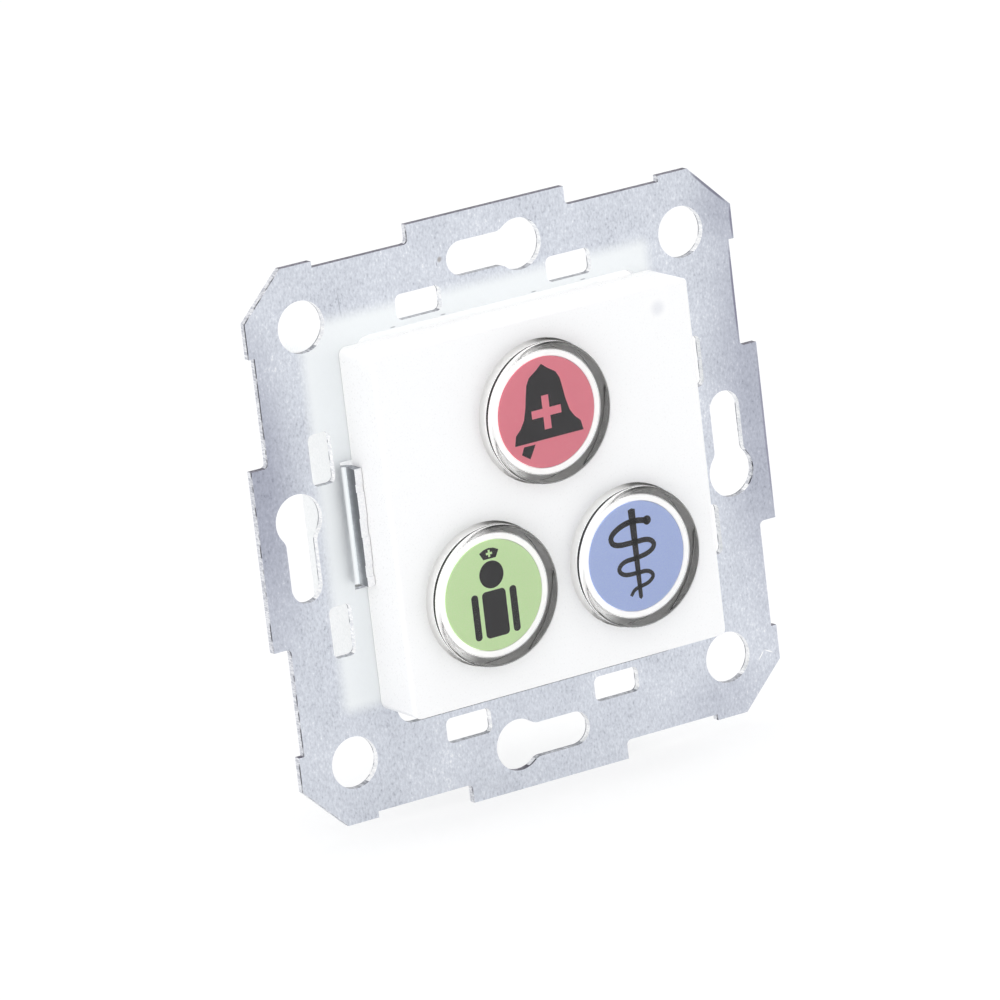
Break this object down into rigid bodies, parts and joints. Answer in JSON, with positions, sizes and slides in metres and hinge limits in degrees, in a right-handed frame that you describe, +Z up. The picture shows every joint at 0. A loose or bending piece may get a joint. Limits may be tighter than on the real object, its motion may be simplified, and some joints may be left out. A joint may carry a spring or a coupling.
{
  "type": "nurse call unit",
  "caption": "Flush-mounted nurse call unit: lit round push buttons with clear caps in a square white module, held by a stamped steel support plate, with a plug-in terminal behind",
  "frame": {"origin": "Centre of the steel plate's back face, the middle of its corner hole pattern, in the plane of the wall", "axes": "+X to the viewer's right, +Y into the wall, +Z up; the buttons face -Y"},
  "size_m": [0.071, 0.0331, 0.071],
  "materials": {
    "plate_steel": "satin",
    "cover_white": "glossy",
    "housing_white": "matte",
    "board_green": "satin",
    "screw_steel": "bright zinc",
    "guide_clear": "clear",
    "lamp_white": "glossy",
    "cap_clear": "clear",
    "legend_red": "printed",
    "legend_green": "printed",
    "legend_blue": "printed",
    "plunger_white": "translucent",
    "spring_steel": "bright",
    "switch_black": "matte",
    "tin_plate": "tinned",
    "chip_black": "matte",
    "ceramic_tan": "matte",
    "can_aluminium": "satin",
    "terminal_green": "satin",
    "pin_gold": "plated"
  },
  "bodies": {
    "base": {"support_plate": "plate_steel", "front_cover": "cover_white", "rear_housing": "housing_white", "circuit_board": "board_green", "housing_screws": "screw_steel", "light_guide": "guide_clear", "window_lamp": "lamp_white", "call_spring": "spring_steel", "presence_spring": "spring_steel", "doctor_spring": "spring_steel", "call_switch_body": "switch_black", "presence_switch_body": "switch_black", "doctor_switch_body": "switch_black", "call_switch_lid": "tin_plate", "presence_switch_lid": "tin_plate", "doctor_switch_lid": "tin_plate", "call_snap_dome": "spring_steel", "presence_snap_dome": "spring_steel", "doctor_snap_dome": "spring_steel", "call_switch_legs": "tin_plate", "presence_switch_legs": "tin_plate", "doctor_switch_legs": "tin_plate", "call_lamps": "lamp_white", "presence_lamps": "lamp_white", "doctor_lamps": "lamp_white", "controller_chip": "chip_black", "controller_leads": "tin_plate", "line_driver_chip": "chip_black", "line_driver_leads": "tin_plate", "small_components": "ceramic_tan", "capacitor_base": "chip_black", "capacitor_can": "can_aluminium", "terminal_header": "terminal_green", "header_pins": "pin_gold", "terminal_plug": "terminal_green", "cage_clamps": "tin_plate"},
    "call_button": {"call_cap": "cap_clear", "call_legend": "legend_red", "call_plunger": "plunger_white"},
    "call_stem": {"call_switch_stem": "switch_black"},
    "presence_button": {"presence_cap": "cap_clear", "presence_legend": "legend_green", "presence_plunger": "plunger_white"},
    "presence_stem": {"presence_switch_stem": "switch_black"},
    "doctor_button": {"doctor_cap": "cap_clear", "doctor_legend": "legend_blue", "doctor_plunger": "plunger_white"},
    "doctor_stem": {"doctor_switch_stem": "switch_black"}
  },
  "joints": [
    {"name": "call_press", "type": "slide", "parent": "base", "child": "call_button", "axis": [0, 1, 0], "range_m": [0, 0.001], "stiffness_N_per_m": 1500, "springref_m": -0.0005, "deforming": ["call_spring", "call_snap_dome"]},
    {"name": "call_stem_press", "type": "slide", "parent": "base", "child": "call_stem", "axis": [0, 1, 0], "range_m": [0, 0.001]},
    {"name": "presence_press", "type": "slide", "parent": "base", "child": "presence_button", "axis": [0, 1, 0], "range_m": [0, 0.001], "stiffness_N_per_m": 1500, "springref_m": -0.0005, "deforming": ["presence_spring", "presence_snap_dome"]},
    {"name": "presence_stem_press", "type": "slide", "parent": "base", "child": "presence_stem", "axis": [0, 1, 0], "range_m": [0, 0.001]},
    {"name": "doctor_press", "type": "slide", "parent": "base", "child": "doctor_button", "axis": [0, 1, 0], "range_m": [0, 0.001], "stiffness_N_per_m": 1500, "springref_m": -0.0005, "deforming": ["doctor_spring", "doctor_snap_dome"]},
    {"name": "doctor_stem_press", "type": "slide", "parent": "base", "child": "doctor_stem", "axis": [0, 1, 0], "range_m": [0, 0.001]}
  ],
  "couplings": [
    {"joint": "call_stem_press", "follows": "call_press", "ratio": 1},
    {"joint": "presence_stem_press", "follows": "presence_press", "ratio": 1},
    {"joint": "doctor_stem_press", "follows": "doctor_press", "ratio": 1}
  ]
}
